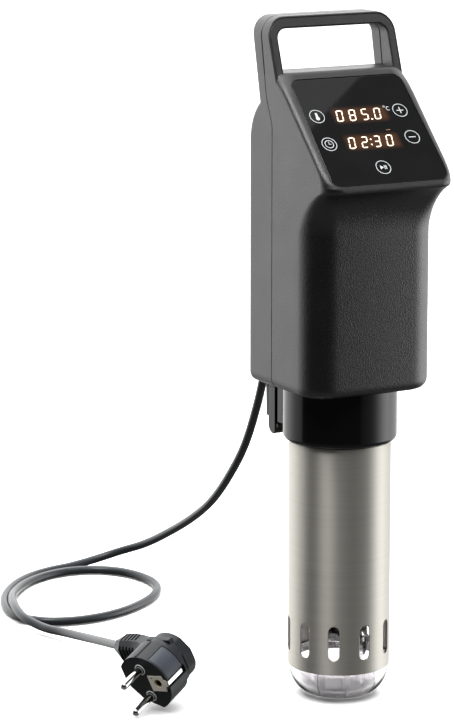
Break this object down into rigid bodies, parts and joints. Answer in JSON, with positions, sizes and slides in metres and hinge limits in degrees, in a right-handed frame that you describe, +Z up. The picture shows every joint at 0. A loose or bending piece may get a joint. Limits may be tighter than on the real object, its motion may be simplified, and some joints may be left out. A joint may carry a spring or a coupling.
{
  "type": "sous vide circulator",
  "caption": "Stick-shaped immersion circulator: angled touch display, loop handle, steel heater tube with water slots, clear end cap, spring pot clip and mains lead.",
  "frame": {"origin": "centre of the end cap's flat foot, on the axis of the immersion tube, at the surface that the object stands on", "axes": "+Z up along the tube towards the handle, -Y is the display side, +X is to the right for someone who faces the display"},
  "size_m": [0.1867, 0.4002, 0.413],
  "materials": {
    "housing_plastic": "fine satin grain",
    "trim_plastic": "fine grain",
    "display_glass": "black printed glass",
    "black_rubber": "matt",
    "circuit_board": "solder mask",
    "digit_module": "tinted",
    "spring_steel": "bright",
    "black_plastic": "moulded",
    "relay_case": "moulded",
    "capacitor_case": "moulded",
    "heatsink_aluminium": "extruded",
    "terminal_plastic": "moulded",
    "laminated_steel": "stacked sheets",
    "coil_tape": "wound and taped",
    "plated_steel": "zinc plated",
    "sintered_bronze": "sintered",
    "rotor_aluminium": "turned",
    "shaft_steel": "polished stainless",
    "white_plastic": "moulded",
    "heater_tube": "satin stainless",
    "terminal_brass": "stamped",
    "collar_plastic": "polished black",
    "clip_plastic": "satin",
    "brushed_sleeve": "brushed around the tube",
    "clear_plastic": "clear polycarbonate",
    "cord_jacket": "smooth grey PVC",
    "plug_plastic": "moulded soft PVC",
    "plug_metal": "nickel plated"
  },
  "bodies": {
    "head": {"front_housing": "housing_plastic", "rear_cover": "housing_plastic", "handle_trim": "trim_plastic", "display_glass": "display_glass", "display_gasket": "black_rubber", "display_board": "circuit_board", "temperature_display": "digit_module", "time_display": "digit_module", "touch_springs": "spring_steel", "buzzer": "black_plastic", "main_board": "circuit_board", "relay": "relay_case", "filter_capacitor": "capacitor_case", "heatsink": "heatsink_aluminium", "triac": "black_plastic", "terminal_block": "terminal_plastic", "motor_stator": "laminated_steel", "motor_coil": "coil_tape", "motor_brackets": "plated_steel", "motor_bearings": "sintered_bronze", "motor_screws": "plated_steel", "shaft_tube": "shaft_steel", "lower_bush": "white_plastic", "shaft_seal": "black_rubber", "base_plate": "shaft_steel", "base_gasket": "black_rubber", "heating_element": "heater_tube", "heater_terminals": "terminal_brass", "temperature_probe": "shaft_steel", "level_probes": "shaft_steel", "collar": "collar_plastic", "collar_screws": "plated_steel", "fixed_jaw_pad": "black_rubber", "clip_pin": "plated_steel", "clip_spring": "spring_steel", "housing_screws": "plated_steel", "strain_relief": "black_rubber", "cord_clamp": "white_plastic", "mains_cord": "cord_jacket", "plug_body": "plug_plastic", "plug_pins": "plug_metal", "plug_earth_clips": "plug_metal", "plug_earth_socket": "terminal_brass"},
    "drive": {"rotor": "rotor_aluminium", "motor_shaft": "shaft_steel", "cooling_fan": "white_plastic", "shaft_coupling": "black_rubber", "drive_shaft": "shaft_steel", "impeller": "white_plastic", "impeller_nut": "shaft_steel"},
    "sleeve": {"steel_sleeve": "brushed_sleeve", "sleeve_ring": "black_plastic"},
    "cap": {"end_cap": "clear_plastic", "foot_disc": "clear_plastic", "inner_cup": "clear_plastic"},
    "clip": {"clip_lever": "clip_plastic", "clip_jaw_pad": "black_rubber"}
  },
  "joints": [
    {"name": "drive_spin", "type": "hinge", "parent": "head", "child": "drive", "pos_m": [0, 0, 0.1], "axis": [0, 0, 1], "continuous": true},
    {"name": "sleeve_pull", "type": "slide", "parent": "head", "child": "sleeve", "axis": [0, 0, -1], "range_m": [0, 0.16]},
    {"name": "cap_pull", "type": "slide", "parent": "sleeve", "child": "cap", "axis": [0, 0, -1], "range_m": [0, 0.03]},
    {"name": "clip_open", "type": "hinge", "parent": "head", "child": "clip", "pos_m": [0, 0.047, 0.187], "axis": [1, 0, 0], "range_deg": [0, 15], "stiffness_Nm_per_rad": 1.2, "springref_deg": -20.05}
  ]
}
